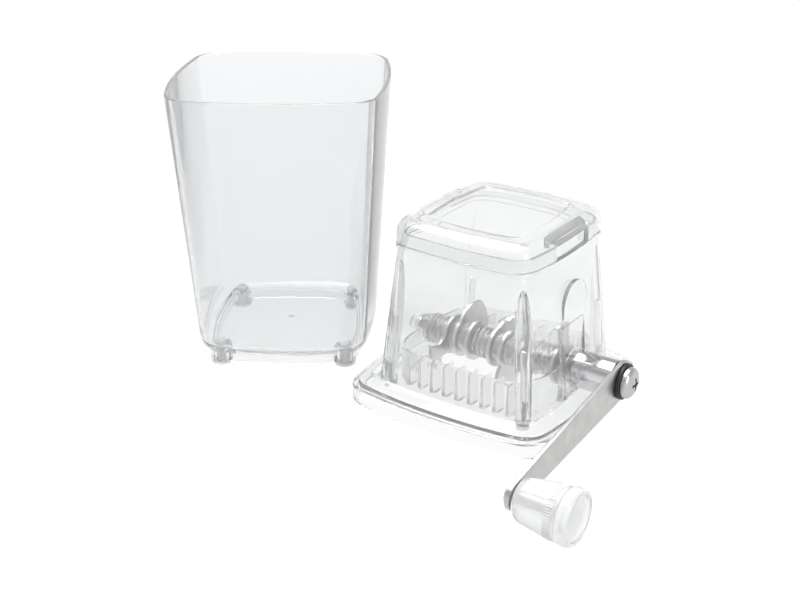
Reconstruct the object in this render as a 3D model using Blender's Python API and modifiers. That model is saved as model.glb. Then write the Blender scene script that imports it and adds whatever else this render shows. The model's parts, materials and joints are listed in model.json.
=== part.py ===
"""Hand crank ice shaver: a clear head with a blade shaft standing beside its clear ice container."""
import math

import bmesh
import bpy
from mathutils import Matrix, Vector

for old in list(bpy.data.objects):
    bpy.data.objects.remove(old)

# Driving sizes, in millimetres. The head's frame has the shaft along X with the crank at +X.
clearance = 0.3            # gap between pieces that touch or slide
jar_height = 160.0         # container, foot to rim
jar_width = 122.0          # container across the flats at the rim
jar_wall = 2.4
jar_draft = 9.4 / 142.0    # how far each side leans out per unit of height
jar_corner = 19.0          # corner radius of the plan at the rim
jar_bow = 3.4              # how far each side bulges out at its middle
jar_yaw = 32.2             # degrees the container is turned from the head
jar_setback = -13.0        # container centre in Y from the shaft
foot_disc = 2.1            # thickness of a foot's pad
foot_width = 12.0
foot_stem = 6.0
ring_drop = 6.6            # depth of the standing ring below the container's floor
floor_thickness = 3.0
skirt_wall = 3.4           # flange that drops over the container's rim
skirt_height = 9.0
deck_step = 4.0            # rise and inset of the flange's upper step
deck_margin = 14.0         # from flange edge to the housing's wall
seam_height = 91.5         # table to the lid's lower edge
housing_wall = 2.6
housing_corner = 12.6
housing_bow = 1.9
housing_draft_x = math.tan(math.radians(5.8))
housing_draft_y = math.tan(math.radians(3.93))
neck_height = 5.5          # part of the housing that stands up inside the lid
lid_height = 13.5
lid_fillet = 9.0
lid_wall = 2.7
lid_lip = 1.0              # how far the lid overhangs the housing
notch_width = 34.0         # finger notches in the lid's two ends
notch_height = 8.5
notch_depth = 6.0
shaft_flats = 9.0
blade_radius = 25.5
shaft_height = blade_radius + 1.0  # the blades sweep just clear of the table
blade_thickness = 2.0
hub_radius = 12.0
trough_height = 29.0
trough_wall = 2.0
boss_width = 8.3
boss_lean = (3.9, 2.3)     # degrees each screw pillar leans in with the walls
screw_shank = 3.2
screw_head = 7.0
sleeve_width = 20.5
sleeve_length = 22.5
arm_length = 110.2
arm_thickness = 2.5
arm_wide = 22.0            # across the pivot end
arm_narrow = 14.0          # across the knob end
arm_drop = 6.4             # degrees below level
knob_length = 31.5
knob_width = 28.0
lift = 0.02                # the knob's clearance from the table

mm = 0.001
parts = bpy.data.collections.new("shaved ice machine")
tools = bpy.data.collections.new("cutters")
for group in (parts, tools):
    bpy.context.scene.collection.children.link(group)


def material(name, color, metallic=0.0, roughness=0.3, alpha=1.0):
    made = bpy.data.materials.new(name)
    made.use_nodes = True
    shader = made.node_tree.nodes["Principled BSDF"]
    shader.inputs["Base Color"].default_value = (*color, 1.0)
    shader.inputs["Metallic"].default_value = metallic
    shader.inputs["Roughness"].default_value = roughness
    shader.inputs["Alpha"].default_value = alpha
    return made


clear_acrylic = material("clear acrylic", (0.86, 0.88, 0.88), 0.0, 0.08, 0.3)
frosted_acrylic = material("frosted acrylic", (0.82, 0.84, 0.84), 0.0, 0.35, 0.6)
blade_steel = material("blade steel", (0.62, 0.62, 0.62), 1.0, 0.3)
crank_steel = material("crank steel", (0.6, 0.6, 0.6), 1.0, 0.35)
chrome = material("chrome", (0.8, 0.8, 0.82), 1.0, 0.08)
black_nylon = material("black nylon", (0.03, 0.03, 0.03), 0.0, 0.5)
foot_rubber = material("foot rubber", (0.35, 0.35, 0.36), 0.0, 0.8)


def place(node, group, paint, smooth=True):
    for held in list(node.users_collection):
        held.objects.unlink(node)
    group.objects.link(node)
    node.name = node.name.replace(" ", "_")
    if group is tools:
        node.hide_render = True
        node.display_type = "WIRE"
        return node
    node.data.materials.clear()
    node.data.materials.append(paint)
    if smooth and node.type == "MESH":
        node.data.shade_smooth()
        node.data.set_sharp_from_angle(angle=math.radians(32))
    return node


def combine(node, tool, how):
    step = node.modifiers.new(how.lower() + " " + tool.name, "BOOLEAN")
    step.operation = how
    step.solver = "EXACT"
    step.object = tool


def ring(across, along, corner, bow, height, side_steps=6, corner_steps=6):
    """Plan of a square with round corners whose four sides bulge out; across and along are half sizes."""
    points = []
    for side in range(4):
        half, reach = (along, across) if side % 2 == 0 else (across, along)
        length = half - corner - bow
        bend = (length ** 2 + bow ** 2) / (2 * bow)
        sweep = math.asin(length / bend)
        turn = Matrix.Rotation(math.radians(90 * side), 3, "Z")
        for step in range(side_steps + 1):
            angle = -sweep + 2 * sweep * step / side_steps
            reach_out = Vector((reach - corner - bend, 0, 0)) + (bend + corner) * Vector(
                (math.cos(angle), math.sin(angle), 0))
            points.append(turn @ reach_out)
        next_length = reach - corner - bow
        next_bend = (next_length ** 2 + bow ** 2) / (2 * bow)
        last = math.pi / 2 - math.asin(next_length / next_bend)
        middle = Vector((reach - corner - bow, length, 0))
        for step in range(1, corner_steps):
            angle = sweep + (last - sweep) * step / corner_steps
            points.append(turn @ (middle + corner * Vector((math.cos(angle), math.sin(angle), 0))))
    return [(point + Vector((0, 0, height))) * mm for point in points]


def loft(name, sections, paint, at=(0, 0, 0), yaw=0.0, tube=False, group=parts):
    """Skin through a row of plan sections; a tube joins its last section to its first."""
    mesh = bpy.data.meshes.new(name)
    build = bmesh.new()
    rows = [[build.verts.new(point) for point in section] for section in sections]
    pairs = list(zip(rows, rows[1:])) + ([(rows[-1], rows[0])] if tube else [])
    for low, high in pairs:
        for k in range(len(low)):
            build.faces.new((low[k - 1], low[k], high[k], high[k - 1]))
    if not tube:
        build.faces.new(rows[0])
        build.faces.new(rows[-1])
    bmesh.ops.recalc_face_normals(build, faces=build.faces)
    build.to_mesh(mesh)
    build.free()
    node = bpy.data.objects.new(name, mesh)
    node.location = Vector(at) * mm
    node.rotation_euler = (0, 0, math.radians(yaw))
    return place(node, group, paint)


def turned(name, profile, paint, at, lying=False, bored=False, steps=40, group=parts):
    """Solid of revolution; profile is (radius, height) from top to bottom on its outer side."""
    mesh = bpy.data.meshes.new(name)
    count = len(profile)
    edges = [(k, k + 1) for k in range(count - 1)] + ([(count - 1, 0)] if bored else [])
    mesh.from_pydata([(r * mm, 0, h * mm) for r, h in profile], edges, [])
    node = bpy.data.objects.new(name, mesh)
    node.location = Vector(at) * mm
    if lying:
        node.rotation_euler = (0, math.radians(90), 0)
    spin = node.modifiers.new("turn", "SCREW")
    spin.steps = spin.render_steps = steps
    spin.use_merge_vertices = True
    spin.merge_threshold = 0.00001
    spin.use_smooth_shade = True
    place(node, group, paint, smooth=False)
    return node


def box(name, low, high, group=tools, paint=None):
    bpy.ops.mesh.primitive_cube_add(size=1.0)
    node = bpy.context.object
    node.name = node.data.name = name
    low, high = Vector(low), Vector(high)
    node.data.transform(Matrix.Diagonal((*((high - low) * mm), 1.0)))
    node.location = (low + high) / 2 * mm
    return place(node, group, paint)


def rod(name, radius, low, high, lying=False, sides=24, group=tools, paint=None):
    """Cylinder between two points that differ along Z, or along X when lying."""
    low, high = Vector(low), Vector(high)
    bpy.ops.mesh.primitive_cylinder_add(radius=radius * mm, depth=(high - low).length * mm, vertices=sides)
    node = bpy.context.object
    node.name = node.data.name = name
    if lying:
        node.data.transform(Matrix.Rotation(math.radians(90), 4, "Y"))
    node.location = (low + high) / 2 * mm
    return place(node, group, paint)


def polar(radius, degrees):
    return radius * math.cos(math.radians(degrees)), radius * math.sin(math.radians(degrees))


def arc(radius, start, end, steps):
    return [polar(radius, start + (end - start) * k / steps) for k in range(steps + 1)]


def bowed(start, end, bow, steps=6):
    """Points between two ends of an edge that bends to its left by bow."""
    start, end = Vector(start), Vector(end)
    left = Vector((start.y - end.y, end.x - start.x)).normalized()
    return [tuple(start.lerp(end, k / steps) + left * bow * 4 * (k / steps) * (1 - k / steps))
            for k in range(1, steps)]


def plate(name, loops, thickness, paint, at, tilt=0.0, group=parts):
    """Flat plate across the shaft; its outlines lie in Y and Z around the point it is placed at."""
    shape = bpy.data.curves.new(name, "CURVE")
    shape.dimensions = "2D"
    shape.fill_mode = "BOTH"
    shape.extrude = thickness / 2 * mm
    for loop in loops:
        line = shape.splines.new("POLY")
        line.points.add(len(loop) - 1)
        for point, (u, v) in zip(line.points, loop):
            point.co = (u * mm, v * mm, 0, 1)
        line.use_cyclic_u = True
    node = bpy.data.objects.new(name, shape)
    across = Matrix(((0, 0, 1, 0), (1, 0, 0, 0), (0, 1, 0, 0), (0, 0, 0, 1)))
    node.matrix_world = (Matrix.Translation(Vector(at) * mm) @ Matrix.Rotation(math.radians(tilt), 4, "X")
                         @ across)
    return place(node, group, paint)


# The container: feet on the table, a standing ring, sides leaning out to a plain rim.
jar_half = jar_width / 2
flange_half = jar_half + 2 * clearance + skirt_wall
jar_at = (-(flange_half + 1.162 * jar_half), jar_setback, 0.0)
ring_low = foot_disc + clearance
floor_low = ring_low + ring_drop
floor_top = floor_low + floor_thickness


def jar_side(height):
    return jar_half - (jar_height - height) * jar_draft


def jar_ring(half, height, wall=0.0):
    scale = half / jar_half
    return ring(half - wall, half - wall, jar_corner * scale - wall, jar_bow * scale, height)


ring_half = jar_side(floor_low) - 5.5
container = loft("container", [
    jar_ring(ring_half, floor_low, 3.0), jar_ring(ring_half, ring_low, 3.0),
    jar_ring(ring_half, ring_low), jar_ring(ring_half, floor_low),
    jar_ring(jar_side(floor_low) - 2.0, floor_low + 1.3), jar_ring(jar_side(floor_low) - 0.5, floor_low + 4.0),
    jar_ring(jar_side(floor_low + 9.0), floor_low + 9.0),
    jar_ring(jar_half, jar_height - 0.4), jar_ring(jar_half - 0.4, jar_height),
    jar_ring(jar_half, jar_height, jar_wall - 0.3), jar_ring(jar_half, jar_height - 0.4, jar_wall),
    jar_ring(jar_side(floor_low + 12.0), floor_low + 12.0, jar_wall),
    jar_ring(jar_side(floor_low + 6.0), floor_low + 6.0, jar_wall + 0.6),
    jar_ring(jar_side(floor_low), floor_top + 0.6, jar_wall + 1.9),
    jar_ring(jar_side(floor_low), floor_top, jar_wall + 3.4),
], clear_acrylic, jar_at, jar_yaw)

foot_spread = (0.787 * ring_half, 0.816 * ring_half)
jar_turn = Matrix.Rotation(math.radians(jar_yaw), 3, "Z")
feet = {"front left": (-1, -1), "front right": (1, -1), "rear left": (-1, 1), "rear right": (1, 1)}
for corner, (u, v) in feet.items():
    spot = Vector(jar_at) + jar_turn @ Vector((u * foot_spread[0], v * foot_spread[1], 0))
    level = lambda height: (spot.x, spot.y, height)
    combine(container, rod("foot socket " + corner, foot_width / 2 + 0.5, level(ring_low),
                           level(floor_low + 0.5)), "UNION")
    combine(container, rod("foot hole " + corner, foot_stem / 2 + clearance, level(0), level(floor_top + 5)),
            "DIFFERENCE")
    top = floor_top + clearance
    turned("foot " + corner, [
        (0, top + 2.3), (2.0, top + 2.3), (3.4, top + 1.4), (3.7, top), (foot_stem / 2, top),
        (foot_stem / 2, foot_disc), (foot_width / 2, foot_disc), (foot_width / 2, 0.6),
        (foot_width / 2 - 0.8, 0), (0, 0)], foot_rubber, (spot.x, spot.y, 0), steps=24)

# The head: flange, housing walls and the neck that the lid sits over, in one moulding.
deck_under = skirt_height - 2.5
wall_foot = skirt_height + deck_step
wall_base = flange_half - deck_margin
bead_low = seam_height - 3.0


def wall_half(height, inset=0.0):
    rise = height - wall_foot
    return wall_base - housing_draft_x * rise - inset, wall_base - housing_draft_y * rise - inset


def wall_ring(height, inset=0.0):
    across, along = wall_half(height, inset)
    return ring(across, along, housing_corner - inset, housing_bow, height)


def flange_ring(inset, height):
    half = flange_half - inset
    return ring(half, half, 17.0 - min(inset, 4.0), jar_bow, height)


housing = loft("housing", [
    flange_ring(skirt_wall, 0), flange_ring(0.3, 0), flange_ring(0, 0.3), flange_ring(0, skirt_height - 1.6),
    flange_ring(0.6, skirt_height - 0.5), flange_ring(1.8, skirt_height), flange_ring(deck_step - 0.6, skirt_height + 0.2),
    flange_ring(deck_step, skirt_height + 1.8), flange_ring(deck_step + 0.8, skirt_height + 2.4),
    wall_ring(wall_foot, -1.6), wall_ring(wall_foot + 1.6),
    wall_ring(bead_low), wall_ring(bead_low + 0.5, -lid_lip), wall_ring(seam_height - clearance, -lid_lip),
    wall_ring(seam_height - clearance, 2.0), wall_ring(seam_height + neck_height - 0.6, 2.0),
    wall_ring(seam_height + neck_height, 2.6), wall_ring(seam_height + neck_height, 4.0),
    wall_ring(bead_low - 4.0, housing_wall), wall_ring(wall_foot, housing_wall),
    ring(wall_base - housing_wall, wall_base - housing_wall, housing_corner - housing_wall, housing_bow,
         deck_under + 1.5),
    ring(wall_base - housing_wall + 1.5, wall_base - housing_wall + 1.5, housing_corner - housing_wall,
         housing_bow, deck_under),
    flange_ring(skirt_wall, deck_under),
], clear_acrylic, tube=True)

# The trough's outer half sizes follow the housing's inner wall beside the crank.
pad_face = wall_base - 4.0
pad_back = pad_face - 2.3
trough_half = (pad_back - 2 * clearance - 0.1, wall_half(shaft_height)[1] - housing_wall - 6.0)
screw_at = (trough_half[0] - 2.5, trough_half[1])
flange_low = deck_under + 0.5
flange_top = flange_low + 2.4
boss_top = 0.49 * (seam_height - flange_top)
spike_top = 0.9 * (seam_height - flange_top)
arch = 11.0                # half width of the flat crank pad
arch_top = seam_height - 17.0
journal = shaft_flats / math.sqrt(3) - 0.1
bush_bore = journal + clearance
bush_neck = bush_bore + 2.2

# Crank side: a flat pad with a round top, sunk into the wall low down and standing proud of it above.
pad_low = flange_top + clearance
pad_outline = [(-arch - 1.6, pad_low)] + [(arch + 1.6, pad_low)] + [
    (u, v + arch_top - arch) for u, v in arc(arch + 1.6, 0, 180, 12)]
pocket_outline = [(-arch, wall_foot)] + [(arch, wall_foot)] + [
    (u, v + arch_top - arch) for u, v in arc(arch, 0, 180, 12)]


def arch_block(name, outline, low, high):
    """Solid with an arched outline in Y and Z that runs from low to high along X."""
    mesh = bpy.data.meshes.new(name)
    build = bmesh.new()
    face = build.faces.new([build.verts.new((low * mm, u * mm, v * mm)) for u, v in outline])
    moved = bmesh.ops.extrude_face_region(build, geom=[face])["geom"]
    bmesh.ops.translate(build, vec=((high - low) * mm, 0, 0),
                        verts=[item for item in moved if isinstance(item, bmesh.types.BMVert)])
    bmesh.ops.recalc_face_normals(build, faces=build.faces)
    build.to_mesh(mesh)
    build.free()
    return place(bpy.data.objects.new(name, mesh), tools, None)


combine(housing, arch_block("crank pad", pad_outline, pad_back, pad_face), "UNION")
cheek_top = wall_foot + (wall_base - pad_face) / housing_draft_x
cheek_middle = (pad_low + 0.3 + cheek_top) / 2
cheek = box("pocket cheeks", (-2.0, -arch - 1.6, 0), (0.6, arch + 1.6, cheek_top - pad_low - 0.3))
cheek.rotation_euler = (0, -math.atan(housing_draft_x), 0)
cheek.location = (wall_half(cheek_middle, 2.2)[0] * mm, 0, cheek_middle * mm)
combine(housing, cheek, "UNION")
combine(housing, arch_block("crank pocket", pocket_outline, pad_face, flange_half), "DIFFERENCE")

for corner, (u, v) in feet.items():
    spot = (u * screw_at[0], v * screw_at[1], 0)
    boss = turned("boss " + corner, [
        (0, spike_top), (0.6, spike_top), (boss_width / 2, boss_top), (boss_width / 2, 0), (0, 0)],
        None, (*spot[:2], flange_top + 2.2 * clearance), steps=16, group=tools)
    boss.rotation_euler = (v * math.radians(boss_lean[1]), -u * math.radians(boss_lean[0]), 0)
    combine(housing, boss, "UNION")
    hole_top = flange_top + 13.0
    combine(housing, rod("boss hole " + corner, screw_shank / 2 + clearance, (*spot[:2], 0),
                         (*spot[:2], hole_top), sides=16), "DIFFERENCE")

# Shaft ends: a cone cap fills the left hole, a flanged bush the right one.
cap_small, cap_large = 4.0, 9.0
cap_end = wall_half(shaft_height)[0] + 6.4
cap_face = trough_half[0] - 4.0
cap_slope = (cap_large - cap_small) / (cap_end - cap_face)
cap_at_wall = cap_large - cap_slope * (wall_half(shaft_height)[0] - housing_wall - cap_face)
hub_line = (0, 0, shaft_height)
combine(housing, rod("cap hole", cap_at_wall + clearance, (-flange_half, 0, shaft_height),
                     (-cap_face, 0, shaft_height), lying=True, sides=40), "DIFFERENCE")
combine(housing, rod("bush hole", bush_neck + clearance, (cap_face, 0, shaft_height),
                     (flange_half, 0, shaft_height), lying=True, sides=40), "DIFFERENCE")

# The trough insert: a base flange held by the four screws and a straight tube with finger ribs inside.
trough_x, trough_y = trough_half
lip_half = wall_base - housing_wall - 0.8


def trough_ring(inset, height):
    return ring(trough_x - inset, trough_y - inset, 18.0 - inset, 1.0, height)


trough = loft("trough", [
    trough_ring(trough_wall, flange_low), ring(lip_half, lip_half, 8.0, housing_bow, flange_low),
    ring(lip_half, lip_half, 8.0, housing_bow, flange_top), trough_ring(0, flange_top),
    trough_ring(0, trough_height), trough_ring(trough_wall, trough_height),
], frosted_acrylic, tube=True)

rib_count = 9
rib_pitch = 1.42 * trough_x / (rib_count - 1)
rib_depth = trough_y - trough_wall - blade_radius - 5.5
for side, name in ((-1, "front"), (1, "rear")):
    outer, inner = side * (trough_y - trough_wall / 2), side * (trough_y - trough_wall - rib_depth)
    first = -rib_pitch * (rib_count - 1) / 2
    rib = box(name + " ribs", (first - 0.9, min(outer, inner), flange_low + 0.5),
              (first + 0.9, max(outer, inner), trough_height - 2.5))
    repeat = rib.modifiers.new("along the wall", "ARRAY")
    repeat.count = rib_count
    repeat.use_relative_offset = False
    repeat.use_constant_offset = True
    repeat.constant_offset_displace = (rib_pitch * mm, 0, 0)
    combine(trough, rib, "UNION")
for corner, (u, v) in feet.items():
    spot = (u * screw_at[0], v * screw_at[1])
    combine(trough, rod("trough hole " + corner, screw_shank / 2 + clearance, (*spot, 0),
                        (*spot, flange_top + 1), sides=16), "DIFFERENCE")
    head_low = flange_low - clearance - 2.3
    turned("housing screw " + corner, [
        (0, flange_top + 12.0), (0.6, flange_top + 12.0), (screw_shank / 2, flange_top + 10.0),
        (screw_shank / 2, flange_low - clearance), (screw_head / 2, flange_low - clearance),
        (screw_head / 2, head_low + 0.5), (screw_head / 2 - 0.6, head_low), (1.6, head_low),
        (0, head_low + 1.2)], blade_steel, (*spot, 0), steps=20)
for name, side, reach in (("cap slot", -1, cap_large + clearance), ("shaft slot", 1, journal + 1.2)):
    near, far = side * (trough_x - trough_wall - 1.5), side * (trough_x + 1.5)
    combine(trough, rod(name, reach, (min(near, far), 0, shaft_height), (max(near, far), 0, shaft_height),
                        lying=True, sides=40), "DIFFERENCE")
    combine(trough, box(name + " mouth", (min(near, far), -reach, shaft_height),
                        (max(near, far), reach, trough_height + 5)), "DIFFERENCE")

# The lid: a shallow cap with a big round edge, a dished panel and a finger notch in each end.
lid_x, lid_y = wall_half(seam_height, -lid_lip)
neck_x, neck_y = wall_half(seam_height, 2.0)
lid_corner = housing_corner + lid_lip


def lid_ring(inset, height):
    return ring(lid_x - inset, lid_y - inset, max(lid_corner - inset, 4.0), housing_bow, height)


def skirt_ring(inset, height):
    return ring(neck_x + clearance - inset, neck_y + clearance - inset,
                max(housing_corner - 2.0 + clearance - inset, 3.0), housing_bow, height)


shoulder = lid_height - lid_fillet
ceiling = lid_height - lid_wall
round_steps = 5
edge = [(lid_fillet * (1 - math.cos(math.pi / 2 * k / round_steps)),
         shoulder + lid_fillet * math.sin(math.pi / 2 * k / round_steps)) for k in range(round_steps + 1)]
inner_edge = [((lid_fillet - lid_wall) * (1 - math.cos(math.pi / 2 * k / round_steps)),
               ceiling - (lid_fillet - lid_wall) * (1 - math.sin(math.pi / 2 * k / round_steps)))
              for k in range(round_steps, -1, -1)]
lid = loft("lid", [skirt_ring(14.0, ceiling - 0.8)] + [skirt_ring(13.0, ceiling)]
           + [skirt_ring(inset, height) for inset, height in inner_edge]
           + [skirt_ring(0, 0), lid_ring(0.3, 0), lid_ring(0, 0.3)]
           + [lid_ring(inset, height) for inset, height in edge]
           + [lid_ring(14.5, lid_height), lid_ring(15.5, lid_height - 0.9)],
           clear_acrylic, (0, 0, seam_height))
for side, name in ((-1, "left"), (1, "crank side")):
    back = lid_x - notch_depth
    far = [side * (back - 2.2), side * (lid_x - 4.5)]
    combine(lid, box(name + " notch block", (min(far), -notch_width / 2 - 2.0, seam_height + neck_height + 0.6),
                     (max(far), notch_width / 2 + 2.0, seam_height + ceiling + 0.5)), "UNION")
    far = [side * back, side * (lid_x + 3)]
    combine(lid, box(name + " notch", (min(far), -notch_width / 2, seam_height - 2),
                     (max(far), notch_width / 2, seam_height + notch_height)), "DIFFERENCE")

# The shaft: a six sided bar with a pin at the cap, a round journal in the bush and a square tang.
bush_face = pad_face + clearance
sleeve_start = bush_face + 3.5
sleeve_end = sleeve_start + sleeve_length
arm_start = sleeve_end + 1.0
arm_end = arm_start + arm_thickness
screw_start = arm_end + 2.5
tang = 7.0
shaft = rod("drive shaft", shaft_flats / math.sqrt(3), (-cap_face - 5.5, 0, shaft_height),
            (trough_x - 0.4, 0, shaft_height), lying=True, sides=6, group=parts, paint=blade_steel)
axis_point = lambda x: (x, 0, shaft_height)
combine(shaft, rod("shaft pin", 3.0, axis_point(-cap_face - 11.5), axis_point(-cap_face - 5.0), lying=True),
        "UNION")
combine(shaft, rod("shaft journal", journal, axis_point(trough_x - 0.9), axis_point(arm_start - clearance),
                   lying=True, sides=32), "UNION")
combine(shaft, box("shaft tang", (sleeve_end - 2, -tang / 2, shaft_height - tang / 2),
                   (arm_end - 0.2, tang / 2, shaft_height + tang / 2)), "UNION")
combine(shaft, rod("shaft thread hole", 2.3, axis_point(sleeve_start + 8), axis_point(arm_end + 1), lying=True,
                   sides=20), "DIFFERENCE")
cap_depth = cap_end - cap_face
cap = turned("bearing cap", [
    (0, 0), (cap_large - 0.6, 0), (cap_large, -1.0), (cap_small, -cap_depth + 1.0),
    (cap_small - 1.0, -cap_depth), (0, -cap_depth)],
    clear_acrylic, (-cap_face, 0, shaft_height), lying=True, steps=12)
combine(cap, rod("cap bore", 3.1, axis_point(-cap_face - 12.0), axis_point(-cap_face + 1), lying=True), "DIFFERENCE")
combine(cap, rod("cap mouth", shaft_flats / math.sqrt(3) + clearance, axis_point(-cap_face - 5.8),
                 axis_point(-cap_face + 1), lying=True), "DIFFERENCE")

# Blades on the shaft from the cap to the crank, each a hub with one wing, and the rings between them.
socket = [polar(shaft_flats / math.sqrt(3) + clearance, 60 * k) for k in range(6)]


def wing(root, tip, reach, hollow, rising=()):
    """Blade outline: root and tip are angle pairs, hollow how far each edge curves in, rising the
    points of an upper edge with its own shape, as shares of the blade radius and angles."""
    outline = arc(hub_radius, root[1], root[0] + 360, 20)
    outline += bowed(polar(hub_radius, root[0]), polar(reach, tip[0]), hollow[0])
    outline += arc(reach, tip[0], tip[1], 8)
    if rising:
        return outline + [polar(share * blade_radius, angle) for share, angle in rising]
    return outline + bowed(polar(reach, tip[1]), polar(hub_radius, root[1]), hollow[1])


span = trough_x - trough_wall
notched_edge = [(0.647, 219), (0.796, 226), (0.808, 240), (0.83, 250), (0.753, 251.5), (0.76, 257.5),
                (0.87, 259.5), (0.925, 268), (0.82, 269.5), (0.83, 274), (0.98, 275.5), (0.992, 281),
                (0.96, 286), (0.72, 289)]
stack = [
    ("hammer blade", -0.62, wing((160, 236), (175, 216), blade_radius, (3.6, 3.6))),
    ("fin blade", -0.476, wing((-14, 117), (-12, 48), 0.95 * blade_radius, (2.6, 0),
                               rising=((0.785, 69), (0.635, 90), (0.525, 108)))),
    ("blade disc", -0.286, arc(hub_radius, 0, 360 - 15, 23)),
    ("stepped blade", 0.048, wing((-14, 92), (-12, 40), 0.95 * blade_radius, (2.6, 0),
                                  rising=((0.86, 45), (0.67, 56), (0.6, 59), (0.59, 73), (0.5, 86)))),
    ("notched blade", 0.214, arc(hub_radius, 296, 214 + 360, 20)
     + [polar(share * blade_radius, angle) for share, angle in notched_edge]),
    ("tall blade", 0.935, wing((66, 118), (84, 108), blade_radius - 0.9, (1.2, 3.0))),
]
for name, share, outline in stack:
    plate(name, [outline, socket], blade_thickness, blade_steel, (share * span, 0, shaft_height))

edges = [(-cap_face, -cap_face)] + [(share * span - blade_thickness / 2, share * span + blade_thickness / 2)
                                   for name, share, outline in stack]
names = ["long spacer", "thin spacer", "second spacer", "middle spacer", "short spacer", "ringed spacer"]
rings_on = {"long spacer": 4, "middle spacer": 3, "ringed spacer": 8}
for name, (_, start), (end, _) in zip(names, edges, edges[1:]):
    start, end = start + clearance, end - clearance
    radius, bore = 9.2, shaft_flats / math.sqrt(3) + clearance
    profile = [(bore, end - start), (radius, end - start)]
    grooves = rings_on.get(name, 0)
    for k in range(grooves, 0, -1):
        middle = (end - start) * k / (grooves + 1)
        profile += [(radius, middle + 0.7), (radius - 1.2, middle + 0.4), (radius - 1.2, middle - 0.4),
                    (radius, middle - 0.7)]
    profile += [(radius, 0), (bore, 0)]
    turned(name, profile, clear_acrylic, (start, 0, shaft_height), lying=True, bored=True, steps=28)

# Through the crank wall: bush, bright sleeve, black washer, arm, black washer and the dome screw.
turned("bearing bush", [
    (bush_bore, 3.2), (10.4, 3.2), (10.8, 2.8), (10.8, 0), (bush_neck, 0), (bush_neck, pad_back - bush_face),
    (bush_bore, pad_back - bush_face)], frosted_acrylic, (bush_face, 0, shaft_height), lying=True, bored=True)
half = sleeve_width / 2
turned("sleeve", [
    (bush_bore, sleeve_length), (half - 0.5, sleeve_length), (half, sleeve_length - 0.5), (half, 0.5),
    (half - 0.5, 0), (bush_bore, 0)], chrome, (sleeve_start, 0, shaft_height), lying=True, bored=True)
turned("sleeve washer", [
    (bush_bore, 0.7), (9.8, 0.7), (9.8, 0), (bush_bore, 0)], black_nylon,
    (sleeve_end + 0.15, 0, shaft_height), lying=True, bored=True)
turned("screw washer", [
    (2.4, 1.9), (9.4, 1.9), (9.75, 1.5), (9.75, 0), (2.4, 0)], black_nylon,
    (arm_end + clearance, 0, shaft_height), lying=True, bored=True)
dome = [(8.4 * math.sin(math.pi / 2 * k / 6), 1.4 + 3.6 * math.cos(math.pi / 2 * k / 6)) for k in range(7)]
screw = turned("crank screw", dome + [(8.4, 0), (2.0, 0), (2.0, -screw_start + sleeve_start + 9.0),
                                      (0, -screw_start + sleeve_start + 9.0)], crank_steel,
               (screw_start, 0, shaft_height), lying=True)
for turn, (wide, tall) in enumerate(((1.5, 7.0), (7.0, 1.5))):
    combine(screw, box("drive recess " + "ab"[turn], (screw_start + 2.4, -wide / 2, shaft_height - tall / 2),
                       (screw_start + 7, wide / 2, shaft_height + tall / 2)), "DIFFERENCE")

# Crank arm: two round ends joined by straight edges, with a square hole and a pin hole.
wide, narrow = arm_wide / 2, arm_narrow / 2
lean = math.degrees(math.acos((wide - narrow) / arm_length))
far_end = [(arm_length + u, v) for u, v in arc(narrow, -lean, lean, 16)]
near_end = arc(wide, lean, 360 - lean, 24)
pin_hole = [(arm_length + u, v) for u, v in arc(3.0 + clearance, 0, 345, 23)]
square = [(u * (tang / 2 + clearance), v * (tang / 2 + clearance)) for u, v in ((1, 1), (-1, 1), (-1, -1), (1, -1))]
arm_angle = 180 + arm_drop
squared = [tuple(Matrix.Rotation(math.radians(-arm_angle), 2) @ Vector(point)) for point in square]
plate("crank arm", [far_end + near_end, squared, pin_hole], arm_thickness, crank_steel,
      (arm_start + arm_thickness / 2, 0, shaft_height), tilt=arm_angle)

# Knob: hollow grip turning on a riveted pin, closed by an end cap.
knob_y = -arm_length * math.cos(math.radians(arm_drop))
knob_z = shaft_height - arm_length * math.sin(math.radians(arm_drop))
knob_half = min(knob_width / 2, knob_z - lift)
grip_start = arm_end + 0.9
grip_end = grip_start + knob_length - 6.6
pin_end = grip_end - 1.5
turned("knob pin", [
    (0, pin_end), (4.6, pin_end), (5.0, pin_end - 0.4), (5.0, pin_end - 2.0), (3.0, pin_end - 2.0),
    (3.0, arm_start - clearance), (5.4, arm_start - clearance), (5.4, arm_start - 1.0),
    (4.2, arm_start - 1.9), (0, arm_start - 1.9)], crank_steel, (0, knob_y, knob_z), lying=True, steps=24)
grip = grip_end - grip_start
small, large = 0.80 * knob_half, 0.95 * knob_half
knob = turned("knob", [
    (6.6, grip), (large, grip), (large, grip - 5.0), (small, 6.5), (small - 1.4, 3.2), (small - 3.4, 1.0),
    (small - 5.6, 0), (3.3, 0), (3.3, grip - 3.9), (6.6, grip - 3.9)], frosted_acrylic,
    (grip_start, knob_y, knob_z), lying=True, bored=True)
cap_start = grip_end + clearance
cap_long = knob_length - 6.6
turned("knob cap", [
    (0, 4.9), (knob_half - 3.4, 4.9), (knob_half - 2.6, 6.2), (knob_half - 1.4, 6.2), (knob_half - 0.3, 5.2),
    (knob_half, 4.0), (knob_half, 0.8), (knob_half - 0.5, 0), (6.2, 0), (6.2, -1.3), (0, -1.3)],
    frosted_acrylic, (cap_start, knob_y, knob_z), lying=True)

# Centre the whole object over the origin, standing on the ground.
bpy.context.view_layer.update()
view = bpy.context.evaluated_depsgraph_get()
points = []
for node in parts.objects:
    solid = node.evaluated_get(view)
    points += [solid.matrix_world @ corner.co for corner in solid.to_mesh().vertices]
    solid.to_mesh_clear()
low = Vector([min(point[axis] for point in points) for axis in range(3)])
high = Vector([max(point[axis] for point in points) for axis in range(3)])
shift = Vector(((low.x + high.x) / 2, (low.y + high.y) / 2, low.z))
for node in list(parts.objects) + list(tools.objects):
    node.location -= shift
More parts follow.
